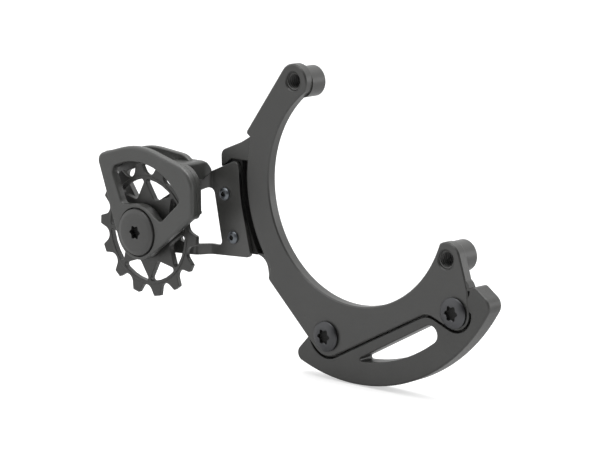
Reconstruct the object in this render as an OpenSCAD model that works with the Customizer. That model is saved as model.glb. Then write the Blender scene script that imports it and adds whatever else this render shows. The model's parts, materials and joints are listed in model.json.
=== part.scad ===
// Bicycle chainring guard: a C-shaped backplate with a bash skid below the chainring, and a
// folded bracket behind it that carries a toothed idler wheel in a chain guide.
// The origin is the crank axis on the outboard face of the backplate.
// +X points to the front of the bicycle, +Y inboard to the frame and +Z up.

/* [Backplate] */
// Thickness of the C-shaped plate
plate_t = 4.7; // [4.2:0.1:5.2]
// Radius of the opening round the crank
bore_r = 48.7; // [46:0.1:50]
// Outer radius of the plate beside the bracket
rim_r = 61.5; // [60.5:0.1:62]
// Chamfer round the front edge of the opening
bore_chamfer = 0.6; // [0.3:0.1:1]
// Distance of the upper mount from the crank axis
upper_mount_r = 55.9; // [55:0.1:56.5]
// Angle of the upper mount
upper_mount_a = 127.9; // [127:0.1:129]
// Distance of the lower mount from the crank axis
lower_mount_r = 54.3; // [53.5:0.1:55]
// Angle of the lower mount
lower_mount_a = -23.8; // [-25:0.1:-23]
// Radius of the rounded plate end at the upper mount
upper_lobe_r = 7.6; // [7:0.1:8.5]
// Radius of the rounded plate end at the lower mount
lower_lobe_r = 6.8; // [6.2:0.1:7.4]
// Radius of the mount bosses behind the plate
boss_r = 6.7; // [6:0.1:6.7]
// Depth of the mount bosses, from the front of the plate
boss_depth = 13.8; // [11:0.1:16]
// Chamfer at the back of the mount bosses
boss_chamfer = 1.6; // [0.5:0.1:2]
// Radius of the mount threads
mount_thread_r = 4; // [3:0.1:4.2]
// Countersink at the mouth of the mount threads
mount_sink = 0.6; // [0.3:0.1:1]

/* [Bracket tab] */
// Setback of the tab face behind the front of the plate
tab_front = 2; // [1.5:0.1:2.5]
// Back of the tab, from the front of the plate
tab_back = 8.5; // [7.5:0.5:10]
// Depth of the pocket in the tab that seats the bracket
pocket_floor = 3.5; // [3:0.1:4]
// Depth of the relief groove between the bracket and the rim
groove_floor = 6.2; // [5:0.1:6.8]
// Height of the top wall of the pocket
pocket_top_z = 6.3; // [6:0.1:7]
// Height of the lower end of the relief groove
groove_low_z = -34.2; // [-35:0.1:-33]

/* [Bash skid] */
// Outer radius of the skid
skid_r = 82.9; // [82:0.1:84]
// Setback of the skid behind the front of the plate
skid_setback = 0.3; // [0.1:0.1:0.6]
// Back of the skid, from the front of the plate
skid_back = 9; // [8:0.5:11]
// Gap of the seam between the plate and the skid
seam_gap = 0.45; // [0.3:0.05:0.6]
// Width of the skid below its slot
slot_wall = 10.4; // [9.9:0.1:11.4]
// Radius at the wide end of the skid slot
slot_end_r = 3.9; // [3:0.1:4.2]
// Radius of the plate ear round the rear skid bolt
rear_ear_r = 9.1; // [8.5:0.1:9.6]
// Radius of the plate ear round the front skid bolt
front_ear_r = 7.5; // [7.3:0.1:8]

/* [Skid bolts] */
// Radius of the button heads
skid_head_r = 6.6; // [6:0.1:7]
// Height of the button heads
skid_head_h = 2.4; // [2:0.1:3.4]
// Radius of the shanks
skid_shank_r = 3.9; // [3:0.1:4]
// Clearance between a fastener's shank and its hole
shank_gap = 0.15; // [0.05:0.05:0.3]
// Outer radius of the threaded inserts in the skid
insert_r = 5.2; // [4.6:0.1:5.4]

/* [Idler bracket] */
// Thickness of the folded sheet
sheet_t = 2; // [1.5:0.1:2.2]
// Inner radius of the two folds
fold_r = 3; // [2:0.1:3.5]
// Angle of the folds
fold_a = 50; // [45:1:55]
// Width of the relief groove between the rim and the bracket's edge
edge_gap = 5.7; // [5.2:0.1:6.2]
// Width of the sheet round the pivot bolt, as a radius
bracket_eye_r = 10.8; // [10:0.1:11.8]
// Radius of the window's edge beside the screws
window_edge_r = 82.5; // [82:0.1:83]
// Radius of the circle that the bracket screws lie on
screw_circle_r = 76.2; // [75.8:0.1:77]
// Angle of the upper bracket screw
upper_screw_a = -172.7; // [-173.5:0.1:-172]
// Angle of the lower bracket screw
lower_screw_a = -158; // [-159:0.1:-157]
// Radius of the bracket screw heads
screw_head_r = 2.85; // [2.5:0.05:3]
// Height of the bracket screw heads
screw_head_h = 1.7; // [1.4:0.1:2]
// Radius of the bracket screw shanks
screw_shank_r = 1.5; // [1.25:0.05:1.6]

/* [Idler wheel] */
// Distance of the wheel's axis behind the crank axis
wheel_x = -111.4; // [-112:0.1:-111]
// Height of the wheel's axis above the crank axis
wheel_z = -28.7; // [-29.2:0.1:-28.2]
// Middle plane of the wheel, outboard of the plate
wheel_y = -10; // [-10.2:0.1:-9.8]
// Number of teeth
teeth = 14; // [12:1:16]
// Pitch of the chain
chain_pitch = 12.7; // [12.7]
// Radius of the roller seats between the teeth
seat_r = 3.5; // [3:0.1:3.8]
// Height of the teeth above the pitch circle
tooth_rise = 1.2; // [1:0.1:2]
// Angle of the first tooth
tooth_a = 177.6; // [170:0.1:190]
// Thickness of the narrow teeth
tooth_t = 2.2; // [2:0.1:2.4]
// Thickness of the wide teeth
wide_tooth_t = 3; // [2.6:0.1:4]
// Thickness of the web with the lightening holes
web_t = 4.6; // [3.6:0.1:4.8]
// Number of lightening holes
web_holes = 8; // [6:1:10]
// Outer radius of the lightening holes
web_hole_r = 23; // [22:0.1:23.5]
// Inner radius of the lightening holes
web_hub_r = 15; // [14:0.1:17]
// Half of the angle that a lightening hole spans at its rounded outer corners
web_hole_span = 17; // [15:0.5:17.5]
// Angle of the first lightening hole
web_hole_a = 25.5; // [22:0.5:28]
// Radius of the wheel's hub
hub_r = 11.2; // [10:0.1:12]

/* [Bearing] */
// Bore radius of the bearing
bearing_bore_r = 4; // [3.5:0.1:4.5]
// Outer radius of the bearing
bearing_r = 8; // [7.5:0.1:8.5]
// Width of the bearing and of the hub
bearing_w = 5; // [4.5:0.1:5.2]
// Radial thickness of each bearing ring
ring_t = 1.1; // [1:0.05:1.2]
// Radius of the balls
ball_r = 1.05; // [0.9:0.05:1.1]
// Number of balls
balls = 9; // [7:1:9]
// Thickness of the bearing shields
shield_t = 0.3; // [0.2:0.05:0.4]

/* [Chain guide] */
// Front face of the outer guide, from the middle plane of the wheel
guide_front = 8; // [7.8:0.1:8.5]
// Thickness of the outer guide
guide_t = 3.6; // [3:0.1:4]
// Added thickness of the outer guide beside the block
guide_pad = 2; // [1:0.1:2.2]
// Depth of the wall beside the wheel, behind the outer guide
guide_wall = 3.2; // [2.8:0.1:4]
// Radius inside the wall beside the wheel
wall_clear_r = 31.2; // [30.9:0.1:31.6]
// Outer radius of the guide over the chain
guide_r = 38.4; // [38:0.1:39]
// Radius under the two bridges, clear of the chain
bridge_clear_r = 33.8; // [33:0.1:34.2]
// Radius of the guide's boss round the pivot bolt
guide_boss_r = 12.5; // [12.4:0.1:13.2]
// Radius of the inner guide's boss round the pivot bolt
inner_boss_r = 11.3; // [11:0.1:12.4]
// Outer radius of the inner guide
inner_guide_r = 37.3; // [37:0.1:38]
// Front face of the inner guide, from the middle plane of the wheel
inner_guide_gap = 3.5; // [3.3:0.1:3.8]
// Thickness of the inner guide
inner_guide_t = 3; // [2.5:0.1:3.5]
// Clearance between the block and the inner guide
block_gap = 0.15; // [0.1:0.05:0.3]
// Side face of the block, from the wheel's axis
block_side = 26.3; // [26:0.1:27]
// Underside of the block, above the wheel's axis
block_low = 24.5; // [24:0.1:25]
// Top of the block, above the wheel's axis
block_high = 33.1; // [32.5:0.1:33.6]
// Reach of the block behind the front of the bracket's arms
block_reach = 2.2; // [1.5:0.1:2.6]

/* [Pivot bolt] */
// Radius of the head
pivot_head_r = 10.5; // [10:0.1:10.8]
// Radius of the flat face of the head
pivot_face_r = 8.2; // [7:0.1:9]
// Height of the head in front of the outer guide
pivot_head_proud = 1.4; // [1:0.1:1.8]
// Depth of the recess for the head
pivot_recess = 2.2; // [1.8:0.1:2.4]
// Radial gap round the head in its recess
pivot_recess_gap = 0.6; // [0.5:0.1:1.1]
// Radial clearance of the shank in the bearing
pivot_gap = 0.05; // [0.03:0.01:0.08]
// Thickness of the nut
nut_h = 5; // [4:0.5:6]
// Width of the nut across its flats
nut_af = 13; // [12:0.5:14]

/* [Hidden] */
// Overlap of cuts past a face
eps = 0.5;

// Places that several pieces share
upper_mount = upper_mount_r * [cos(upper_mount_a), sin(upper_mount_a)];
lower_mount = lower_mount_r * [cos(lower_mount_a), sin(lower_mount_a)];
rear_bolt = [-15, -64.2];
front_bolt = [54.3, -43.6];
pivot = [wheel_x, wheel_z];
upper_screw = screw_circle_r * [cos(upper_screw_a), sin(upper_screw_a)];
lower_screw = screw_circle_r * [cos(lower_screw_a), sin(lower_screw_a)];

// Small sizes inside single pieces
upper_boss_shift = [1.3, -0.6];
lower_boss_shift = [0.3, 0.3];
pocket_corner = -72.6;
pocket_slope = [22.4, 12];
skid_socket_r = 3.3;
pivot_socket_r = 3.2;
screw_socket_r = 1.15;
socket_web = 0.6;
nut_bevel = 0.4;
cap_lip = 1.4;
wide_tooth = [5.4, 3.4];
wide_tooth_root = 4.5;
flank_flare = 2.2;
block_start = 14;
web_rim = 1;
cage_t = 0.9;
cage_back = 1.5;
cage_front = 0.1;
ball_gap = 0.05;
guide_window_gap = 0.7;
pivot_side = 0.7;
slot_r = skid_r - slot_wall;

// Planes across the thickness of the assembly
bracket_edge_r = rim_r + edge_gap;
sheet_front = pocket_floor - sheet_t;
guide_face = wheel_y - guide_front;
guide_back = guide_face + guide_t;
inner_front = wheel_y + inner_guide_gap;
arm_front = inner_front + inner_guide_t;
arm_back = arm_front + sheet_t;
hub_front = wheel_y - bearing_w / 2;
hub_back = wheel_y + bearing_w / 2;
recess_floor = guide_face + pivot_recess;
cap_lift = 0.6;
boss_back = hub_front - cap_lift;
cap_gap = 0.3;

// A node of an outline is [x, z, r]: a circle that the outline follows round. It turns left
// round a circle with r above 0 and right round one with r below 0.
function heading(a, b) =
    atan2(b[1] - a[1], b[0] - a[0]) + asin((a[2] - b[2]) / norm([b[0] - a[0], b[1] - a[1]]));
function wrap(a) = a - 360 * floor((a + 0.01) / 360);
function sweep(n, t0, t1) = n[2] >= 0 ? wrap(t1 - t0) : -wrap(t0 - t1);
function backwards(v) = [for (i = [len(v) - 1:-1:0]) v[i]];
function turn(n, t0, t1) =
    let (s = sweep(n, t0, t1), k = max(1, ceil(abs(s) / (abs(n[2]) > 25 ? 3 : 12))))
    [for (i = [0:k]) let (t = t0 + s * i / k) [n[0] + n[2] * sin(t), n[1] - n[2] * cos(t)]];
// A corner circle of radius r that touches the inside of the arc of radius big at angle a
function nested(big, r, a) = polar(big - r + 0.02, a, r);
// A corner circle of radius r whose centre lies at radius big and angle a
function polar(big, a, r) = [big * cos(a), big * sin(a), r];
// The closed outline round a list of nodes, moved outwards by g
function outline(nodes, g = 0) =
    let (m = len(nodes), grown = [for (n = nodes) [n[0], n[1], n[2] + g]],
         h = [for (i = [0:m - 1]) heading(grown[i], grown[(i + 1) % m])])
    [for (i = [0:m - 1]) each turn(grown[i], h[(i + m - 1) % m], h[i])];

// Outline of the C-shaped plate, whose ears hold the skid bolts
plate_nodes = [
    [upper_mount[0], upper_mount[1], upper_lobe_r],
    [-60.3, 19.4, 1.3], [-60.5, 16.8, -1], [0, 0, rim_r], [-49.0, -39.0, -1], [-47, -43.3, 2],
    [rear_bolt[0], rear_bolt[1], rear_ear_r], [40.2, -55.4, -8.6],
    [front_bolt[0], front_bolt[1], front_ear_r], [57, -33.5, 4],
    [lower_mount[0] + 0.5, lower_mount[1] + 0.7, lower_lobe_r], [36, -18, -1], [-24.4, 32, -2]];
// Outline of the tab that carries the bracket
tab_nodes = [
    [-52.6, 20, 2], [-68.9, 19.4, -5.6], [-76.2, 7.9, 2.3], [-71.5, -32.3, 3],
    [-58.6, -41.5, -6.6], [-49.9, -44.2, 1.6], [0, 0, -53]];
// Outline of the skid before the plate is cut out of it
skid_nodes = [
    nested(skid_r, 3.6, -111.1), [0, 0, skid_r], nested(skid_r, 4.9, -30.3), [64.3, -33.6, 2],
    [rear_bolt[0], rear_bolt[1], 6.5]];
slot_nodes = [nested(slot_r, 0.9, -86.6), [0, 0, slot_r], nested(slot_r, slot_end_r, -53)];
// Outlines of the folded bracket, seen from the front
bracket_nodes = [
    [wheel_x, wheel_z, bracket_eye_r], polar(bracket_edge_r + 4.8, -151.5, 2.3),
    [0, 0, -bracket_edge_r], polar(bracket_edge_r + 3, 177.6, 2.4), [-86.2, -4.3, 2.7]];
window_nodes = [
    polar(window_edge_r + 3.3, -158.7, 2), [0, 0, -window_edge_r],
    polar(window_edge_r + 3.2, -172.7, 3), [-94.5, -15.3, 2], [-96.6, -31.2, 2]];
// Outlines of the chain guide, from the wheel's axis
guide_nodes = [
    [0, 0, guide_boss_r], [31, 12.2, 3.2], [23, 22, 11.1], [0, 0, guide_r], [-20.6, 29.9, 3.9]];
guide_window_nodes = [
    [0, 0, guide_window_gap - guide_boss_r], [14, 8.9, 2.4], [23.2, 17.4, 2.6], [0, 0, 31.6],
    [-12.0, 26.0, 3], [-7.2, 14.8, 3]];
pad_nodes = [[18, 10, 3], [24.8, 16.9, 9], [20, 26, 11]];
inner_guide_nodes = [
    [0, 0, inner_boss_r], [21.2, 13.4, 3], [15.2, 27.1, 8.8], [0, 0, inner_guide_r],
    [-21.5, 28.2, 4]];
inner_window_nodes = [
    [0, 0, guide_window_gap - inner_boss_r], [12.6, 8.9, 2.4], [17.0, 15.8, 2.6],
    [13.0, 23.8, 3], [0, 0, 30], [-16.4, 22.3, 2.6], [-9.6, 14.8, 3]];

// A shape drawn in X and Z, made solid from y0 to y1
module slab(y0, y1) {
    translate([0, y1, 0]) rotate([90, 0, 0]) linear_extrude(y1 - y0) children();
}
// A round bar or a cone along Y, centred on the point p
module bar(p, y0, y1, r0, r1 = -1) {
    translate([p[0], y0, p[1]]) rotate([-90, 0, 0])
        cylinder(h = y1 - y0, r1 = r0, r2 = r1 < 0 ? r0 : r1, $fn = 96);
}
// A ring along Y, centred on the point p
module ring(p, y0, y1, r_in, r_out) {
    difference() {
        bar(p, y0, y1, r_out);
        bar(p, y0 - eps, y1 + eps, r_in);
    }
}
// A six-lobed driver socket of tip radius r, from y0 to y1
module lobed_socket(p, y0, y1, r) {
    lobes = [for (i = [0:47]) let (a = 7.5 * i, q = r * (0.87 + 0.13 * cos(6 * a)))
        [q * cos(a), q * sin(a)]];
    translate([p[0], 0, p[1]]) slab(y0, y1) polygon(lobes);
}

module mount_bore(p) {
    bar(p, -eps, boss_depth + eps, mount_thread_r);
    bar(p, -eps, mount_sink, mount_thread_r + mount_sink + eps, mount_thread_r);
}
// The bosses stand off the axes of their threads, to stay inside the outline of the plate
module mount_boss(p) {
    bar(p, plate_t - eps, boss_depth - boss_chamfer, boss_r);
    bar(p, boss_depth - boss_chamfer, boss_depth, boss_r, boss_r - boss_chamfer);
}
// The tab's pocket lies outside the plate, and the groove between the plate and the bracket
module bracket_pocket() {
    left = pocket_corner - pocket_slope[0];
    slab(-eps, pocket_floor) difference() {
        polygon([[left, pocket_top_z - pocket_slope[1]], [pocket_corner, pocket_top_z],
                 [0, pocket_top_z], [0, -skid_r], [left, -skid_r]]);
        polygon(outline(plate_nodes));
    }
    slab(-eps, groove_floor) difference() {
        intersection() {
            circle(bracket_edge_r, $fn = 120);
            translate([-skid_r, groove_low_z]) square([skid_r, pocket_top_z - groove_low_z]);
        }
        polygon(outline(plate_nodes));
    }
}
module backplate() {
    color("dimgray") difference() {
        union() {
            slab(0, plate_t) polygon(outline(plate_nodes));
            difference() {
                slab(tab_front, tab_back) polygon(outline(tab_nodes));
                bracket_pocket();
            }
            mount_boss(upper_mount + upper_boss_shift);
            mount_boss(lower_mount + lower_boss_shift);
        }
        bar([0, 0], -eps, boss_depth + eps, bore_r);
        bar([0, 0], -eps, bore_chamfer, bore_r + bore_chamfer + eps, bore_r);
        mount_bore(upper_mount);
        mount_bore(lower_mount);
        bar(rear_bolt, -eps, plate_t + eps, skid_shank_r + shank_gap);
        bar(front_bolt, -eps, plate_t + eps, skid_shank_r + shank_gap);
        bar(upper_screw, -eps, tab_back + eps, screw_shank_r);
        bar(lower_screw, -eps, tab_back + eps, screw_shank_r);
    }
}

module bash_skid() {
    color("#3a3a3a") difference() {
        slab(skid_setback, skid_back) polygon(outline(skid_nodes));
        slab(-eps, plate_t) polygon(outline(plate_nodes, seam_gap));
        slab(-eps, skid_back + eps) polygon(outline(slot_nodes));
        bar(rear_bolt, plate_t - eps, skid_back + eps, insert_r);
        bar(front_bolt, plate_t - eps, skid_back + eps, insert_r);
    }
}

module skid_bolt(p) {
    dome_r = (skid_head_r * skid_head_r + skid_head_h * skid_head_h) / (2 * skid_head_h);
    difference() {
        union() {
            intersection() {
                translate([p[0], dome_r - skid_head_h, p[1]]) sphere(dome_r, $fn = 96);
                bar(p, -skid_head_h, 0, skid_head_r);
            }
            bar(p, -eps, skid_back - eps, skid_shank_r);
        }
        lobed_socket(p, -skid_head_h - eps, -eps, skid_socket_r);
    }
}
module skid_bolt_rear() { color("slategray") skid_bolt(rear_bolt); }
module skid_bolt_front() { color("slategray") skid_bolt(front_bolt); }

module skid_insert(p) { ring(p, plate_t, skid_back, skid_shank_r, insert_r); }
module skid_insert_rear() { color("goldenrod") skid_insert(rear_bolt); }
module skid_insert_front() { color("goldenrod") skid_insert(front_bolt); }

// The sheet seen from above: flat on the tab, two folds outboard, flat behind the wheel
fold_x = upper_screw[0] - 7.1;
fold_rise = sheet_front - arm_front;
fold_flat = (fold_rise - (2 * fold_r + sheet_t) * (1 - cos(fold_a))) / sin(fold_a);
fold_run = (2 * fold_r + sheet_t) * sin(fold_a) + fold_flat * cos(fold_a);
function sheet_face(d) = concat(
    [[-50, sheet_front + d]],
    turn([fold_x, sheet_front - fold_r, fold_r + d], 180, 180 + fold_a),
    turn([fold_x - fold_run, arm_front + fold_r + sheet_t, d - fold_r - sheet_t],
         180 + fold_a, 180),
    [[wheel_x - 30, arm_front + d]]);
module idler_bracket() {
    color("#3a3a3a") difference() {
        intersection() {
            translate([0, 0, -60]) linear_extrude(90)
                polygon(concat(sheet_face(0), backwards(sheet_face(sheet_t))));
            slab(-30, 30) difference() {
                polygon(outline(bracket_nodes));
                polygon(outline(window_nodes));
            }
        }
        bar(pivot, arm_front - eps, arm_back + eps, bearing_bore_r + shank_gap);
        bar(upper_screw, sheet_front - eps, pocket_floor + eps, screw_shank_r + shank_gap);
        bar(lower_screw, sheet_front - eps, pocket_floor + eps, screw_shank_r + shank_gap);
    }
}

module bracket_screw(p) {
    dome_r = (screw_head_r * screw_head_r + screw_head_h * screw_head_h) / (2 * screw_head_h);
    difference() {
        union() {
            intersection() {
                translate([p[0], sheet_front - screw_head_h + dome_r, p[1]])
                    sphere(dome_r, $fn = 64);
                bar(p, sheet_front - screw_head_h, sheet_front, screw_head_r);
            }
            bar(p, sheet_front - eps, tab_back - eps, screw_shank_r);
        }
        translate([p[0], 0, p[1]]) slab(sheet_front - screw_head_h - eps, sheet_front - eps)
            circle(screw_socket_r, $fn = 6);
    }
}
module bracket_screw_upper() { color("lightsteelblue") bracket_screw(upper_screw); }
module bracket_screw_lower() { color("lightsteelblue") bracket_screw(lower_screw); }

// Section of the block that bridges the two guides, from the wheel's axis
module block_section(g = 0) {
    difference() {
        translate([block_start - g, block_low - g])
            square([block_side - block_start + 2 * g, block_high - block_low + 2 * g]);
        circle(bridge_clear_r - g, $fn = 96);
    }
}
// Everything of the outer guide that stands behind its front plate, from the wheel's axis
module guide_back_forms() {
    slab(guide_back - eps, guide_back + guide_pad) intersection() {
        guide_plate();
        polygon(outline(pad_nodes));
    }
    slab(guide_back - eps, guide_back + guide_wall) difference() {
        intersection() {
            polygon(outline(guide_nodes));
            polygon(outline(pad_nodes));
        }
        circle(wall_clear_r, $fn = 96);
    }
    slab(guide_back - eps, inner_front) intersection() {
        difference() {
            polygon(outline(guide_nodes));
            circle(bridge_clear_r, $fn = 96);
        }
        polygon([[0, 0], [-21.5, 60], [-60, 60], [-60, 44]]);
    }
    slab(guide_back - eps, arm_front + block_reach) block_section();
    bar([0, 0], guide_face, boss_back, guide_boss_r);
}
// A slanted foot reaches from the block to the top edge of the bracket beside the tab
module guide_foot() {
    foot_h = 1.3;
    hull() {
        slab(arm_front + block_reach - 0.1, arm_front + block_reach)
            translate([block_side - 4, block_high - 4 * foot_h]) square([4, 4 * foot_h]);
        slab(sheet_front - 0.5, sheet_front - 0.1)
            translate([block_side + 0.4, block_high - 4 * foot_h]) square([foot_h, foot_h]);
    }
}
module guide_plate() {
    difference() {
        polygon(outline(guide_nodes));
        polygon(outline(guide_window_nodes));
    }
}
module outer_guide() {
    color("#444444") difference() {
        translate([wheel_x, 0, wheel_z]) union() {
            slab(guide_face, guide_back) guide_plate();
            guide_back_forms();
            guide_foot();
        }
        slab(arm_front - block_gap, pocket_floor) polygon(outline(bracket_nodes, block_gap));
        bar(pivot, guide_face - eps, recess_floor, pivot_head_r + pivot_recess_gap);
        bar(pivot, guide_face - eps, boss_back + eps, bearing_bore_r + shank_gap);
    }
}
module inner_guide() {
    color("#444444") difference() {
        translate([wheel_x, 0, wheel_z]) slab(inner_front, arm_front) difference() {
            polygon(outline(inner_guide_nodes));
            polygon(outline(inner_window_nodes));
            block_section(block_gap);
        }
        bar(pivot, inner_front - eps, arm_front + eps, bearing_bore_r + shank_gap);
    }
}

module pivot_bolt() {
    head_front = guide_face - pivot_head_proud;
    color("#4a4a4a") difference() {
        union() {
            bar(pivot, head_front, guide_face - pivot_side, pivot_face_r, pivot_head_r);
            bar(pivot, guide_face - pivot_side, recess_floor, pivot_head_r);
            bar(pivot, recess_floor - eps, arm_back + nut_h, bearing_bore_r - pivot_gap);
        }
        lobed_socket(pivot, head_front - eps, recess_floor - socket_web, pivot_socket_r);
    }
}
module pivot_nut() {
    end_r = nut_af / 2 - nut_bevel;
    color("slategray") difference() {
        intersection() {
            translate([wheel_x, 0, wheel_z]) slab(arm_back, arm_back + nut_h)
                circle(nut_af / sqrt(3), $fn = 6);
            bar(pivot, arm_back - nut_h, arm_back + nut_h, end_r + 2 * nut_h, end_r);
        }
        bar(pivot, arm_back - eps, arm_back + nut_h + eps, bearing_bore_r - pivot_gap);
    }
}

// A stepped washer that clamps the bearing's inner ring and covers its front
module dust_cap_outer() {
    color("silver") {
        ring(pivot, boss_back, hub_front - cap_gap, bearing_bore_r, bearing_r + cap_lip);
        ring(pivot, hub_front - cap_gap, hub_front, bearing_bore_r, bearing_bore_r + ring_t);
    }
}
module dust_cap_inner() {
    color("silver") {
        ring(pivot, hub_back + cap_gap, inner_front, bearing_bore_r, bearing_r + cap_lip);
        ring(pivot, hub_back, hub_back + cap_gap, bearing_bore_r, bearing_bore_r + ring_t);
    }
}

pitch_r = chain_pitch / (2 * sin(180 / teeth));
tip_r = pitch_r + tooth_rise;
// A flat wheel blank with a roller seat between each two teeth and narrowed tooth tips
module tooth_profile() {
    near = sqrt(pitch_r * pitch_r - seat_r * seat_r);
    difference() {
        circle(tip_r, $fn = 120);
        for (i = [0:teeth - 1]) rotate(tooth_a + (i + 0.5) * 360 / teeth) {
            translate([pitch_r, 0]) circle(seat_r, $fn = 36);
            polygon([[near, seat_r], [tip_r + 1, seat_r + flank_flare],
                     [tip_r + 1, -seat_r - flank_flare], [near, -seat_r]]);
        }
    }
}
// A lightening hole is a rounded triangle with its apex towards the hub
module lightening_hole() {
    polygon(outline([[web_hub_r + 1.8, 0, 1.8], nested(web_hole_r, 1.2, -web_hole_span),
                     [0, 0, web_hole_r], nested(web_hole_r, 1.2, web_hole_span)]));
}
module idler_wheel() {
    color("#4a4a4a") translate([wheel_x, 0, wheel_z]) difference() {
        union() {
            slab(wheel_y - tooth_t / 2, wheel_y + tooth_t / 2) tooth_profile();
            slab(wheel_y - wide_tooth_t / 2, wheel_y + wide_tooth_t / 2) intersection() {
                tooth_profile();
                for (i = [0:2:teeth - 1]) rotate(tooth_a + i * 360 / teeth)
                    translate([pitch_r - wide_tooth_root, -wide_tooth[1] / 2]) square(wide_tooth);
            }
            bar([0, 0], wheel_y - web_t / 2, wheel_y + web_t / 2, web_hole_r + web_rim);
            bar([0, 0], hub_front, hub_back, hub_r);
        }
        for (i = [0:web_holes - 1]) rotate([0, -web_hole_a - i * 360 / web_holes, 0])
            slab(hub_front - eps, hub_back + eps) lightening_hole();
        bar([0, 0], hub_front - eps, hub_back + eps, bearing_r);
    }
}

ball_circle_r = (bearing_bore_r + bearing_r) / 2;
// A grooved race: the groove is a torus cut along the circle of the balls
module race_groove(r) {
    translate([wheel_x, wheel_y, wheel_z]) rotate([90, 0, 0])
        rotate_extrude($fn = 96) translate([ball_circle_r, 0]) circle(r, $fn = 32);
}
module bearing_outer_ring() {
    color("silver") difference() {
        ring(pivot, hub_front, hub_back, bearing_r - ring_t, bearing_r);
        race_groove(ball_r + cap_gap);
    }
}
module bearing_inner_ring() {
    color("silver") difference() {
        ring(pivot, hub_front, hub_back, bearing_bore_r, bearing_bore_r + ring_t);
        race_groove(ball_r);
    }
}
module ball_centres() {
    for (i = [0:balls - 1]) let (a = 360 * i / balls)
        translate([wheel_x + ball_circle_r * cos(a), wheel_y, wheel_z + ball_circle_r * sin(a)])
            children();
}
module bearing_balls() { color("gainsboro") ball_centres() sphere(ball_r, $fn = 48); }
module ball_cage() {
    color("saddlebrown") difference() {
        ring(pivot, wheel_y - cage_front, wheel_y + cage_back, ball_circle_r - cage_t / 2,
             ball_circle_r + cage_t / 2);
        for (i = [0:balls - 1]) translate([wheel_x, wheel_y, wheel_z])
            rotate([0, 90 - 360 * i / balls, 0])
                cylinder(h = bearing_r, r = ball_r + ball_gap, $fn = 48);
    }
}
module bearing_shield(y0) {
    ring(pivot, y0, y0 + shield_t, bearing_bore_r + ring_t + cap_gap, bearing_r - ring_t);
}
module bearing_shield_outer() { color("dimgray") bearing_shield(hub_front + shield_t); }
module bearing_shield_inner() { color("dimgray") bearing_shield(hub_back - 2 * shield_t); }

backplate();
bash_skid();
skid_bolt_rear();
skid_bolt_front();
skid_insert_rear();
skid_insert_front();
idler_bracket();
bracket_screw_upper();
bracket_screw_lower();
outer_guide();
inner_guide();
pivot_bolt();
pivot_nut();
dust_cap_outer();
dust_cap_inner();
idler_wheel();
bearing_outer_ring();
bearing_inner_ring();
bearing_balls();
ball_cage();
bearing_shield_outer();
bearing_shield_inner();
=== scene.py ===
"""Looks of a black bicycle chainring guard with a toothed idler wheel, as a studio shot on white.

The shape functions work in millimetres, and a mesh gets metres when it is made. A line is a closed
outline in x and z with its outward normals, and a slab gives lines a thickness along y. The plate's
front is at y 0, and +y points inboard."""

import json
import math

import bmesh
import bpy
import numpy as np
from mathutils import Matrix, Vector
from mathutils.geometry import tessellate_polygon


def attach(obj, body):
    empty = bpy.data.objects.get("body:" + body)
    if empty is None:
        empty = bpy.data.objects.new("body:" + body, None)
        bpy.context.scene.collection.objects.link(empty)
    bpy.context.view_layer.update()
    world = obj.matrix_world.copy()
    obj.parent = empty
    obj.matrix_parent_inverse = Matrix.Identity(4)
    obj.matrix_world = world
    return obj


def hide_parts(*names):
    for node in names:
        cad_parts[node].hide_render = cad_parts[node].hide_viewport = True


MM = 0.001
# The edge radius that stands for a sharp edge
LEAST_EDGE = 0.03
# How far a corner circle reaches past the circle that it touches, so that their order stays clear
TOUCH = 0.02
FLOOR_Z = -0.0832

# Places in x and z that several pieces share
UPPER_MOUNT, LOWER_MOUNT = (-34.338, 44.110), (49.682, -21.913)
REAR_BOLT, FRONT_BOLT = (-15.0, -64.2), (54.3, -43.6)
UPPER_SCREW, LOWER_SCREW = (-75.582, -9.683), (-70.651, -28.545)
WHEEL = (-111.4, -28.7)

# Radii about the crank axis
BORE_R, RIM_R = 48.7, 61.5
SLOT_R, SKID_R = 72.5, 82.9

# Radii of holes
THREAD_R, BOLT_HOLE_R, SCREW_HOLE_R, PIVOT_HOLE_R = 4.0, 4.05, 1.5, 4.15

# Circles that the plate's lower edge follows, and that the skid follows at the width of the seam
REAR_EAR, FRONT_EAR = (*REAR_BOLT, 9.1), (*FRONT_BOLT, 7.5)
VALLEY, NECK = (40.2, -55.4, -8.6), (57, -33.5, 4)

# Planes along y
PLATE_BACK, BOSS_BACK = 4.7, 13.8
FLANGE_FRONT, SEAT_FLOOR, GROOVE_FLOOR, TAB_BACK = 2.0, 3.5, 6.2, 8.5
SKID_FRONT, SKID_BACK = 0.3, 9.0
GUIDE_FACE, RECESS_FLOOR, GUIDE_BACK = -18, -15.8, -14.4
INNER_FACE, INNER_BACK = -6.5, -3.5

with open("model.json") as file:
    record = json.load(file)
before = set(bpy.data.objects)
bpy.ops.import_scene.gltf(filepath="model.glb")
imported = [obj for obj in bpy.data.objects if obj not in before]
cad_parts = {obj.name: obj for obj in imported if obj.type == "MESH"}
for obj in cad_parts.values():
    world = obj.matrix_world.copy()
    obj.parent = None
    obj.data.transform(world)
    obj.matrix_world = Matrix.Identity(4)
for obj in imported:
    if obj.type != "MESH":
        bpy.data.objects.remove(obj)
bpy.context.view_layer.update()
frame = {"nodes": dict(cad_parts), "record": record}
body_of = {n: b for b, ns in frame["record"]["behaviour"]["bodies"].items() for n in ns}
slot_of = {s["node"]: s["material_slot"] for s in frame["record"]["subparts"]}


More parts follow.
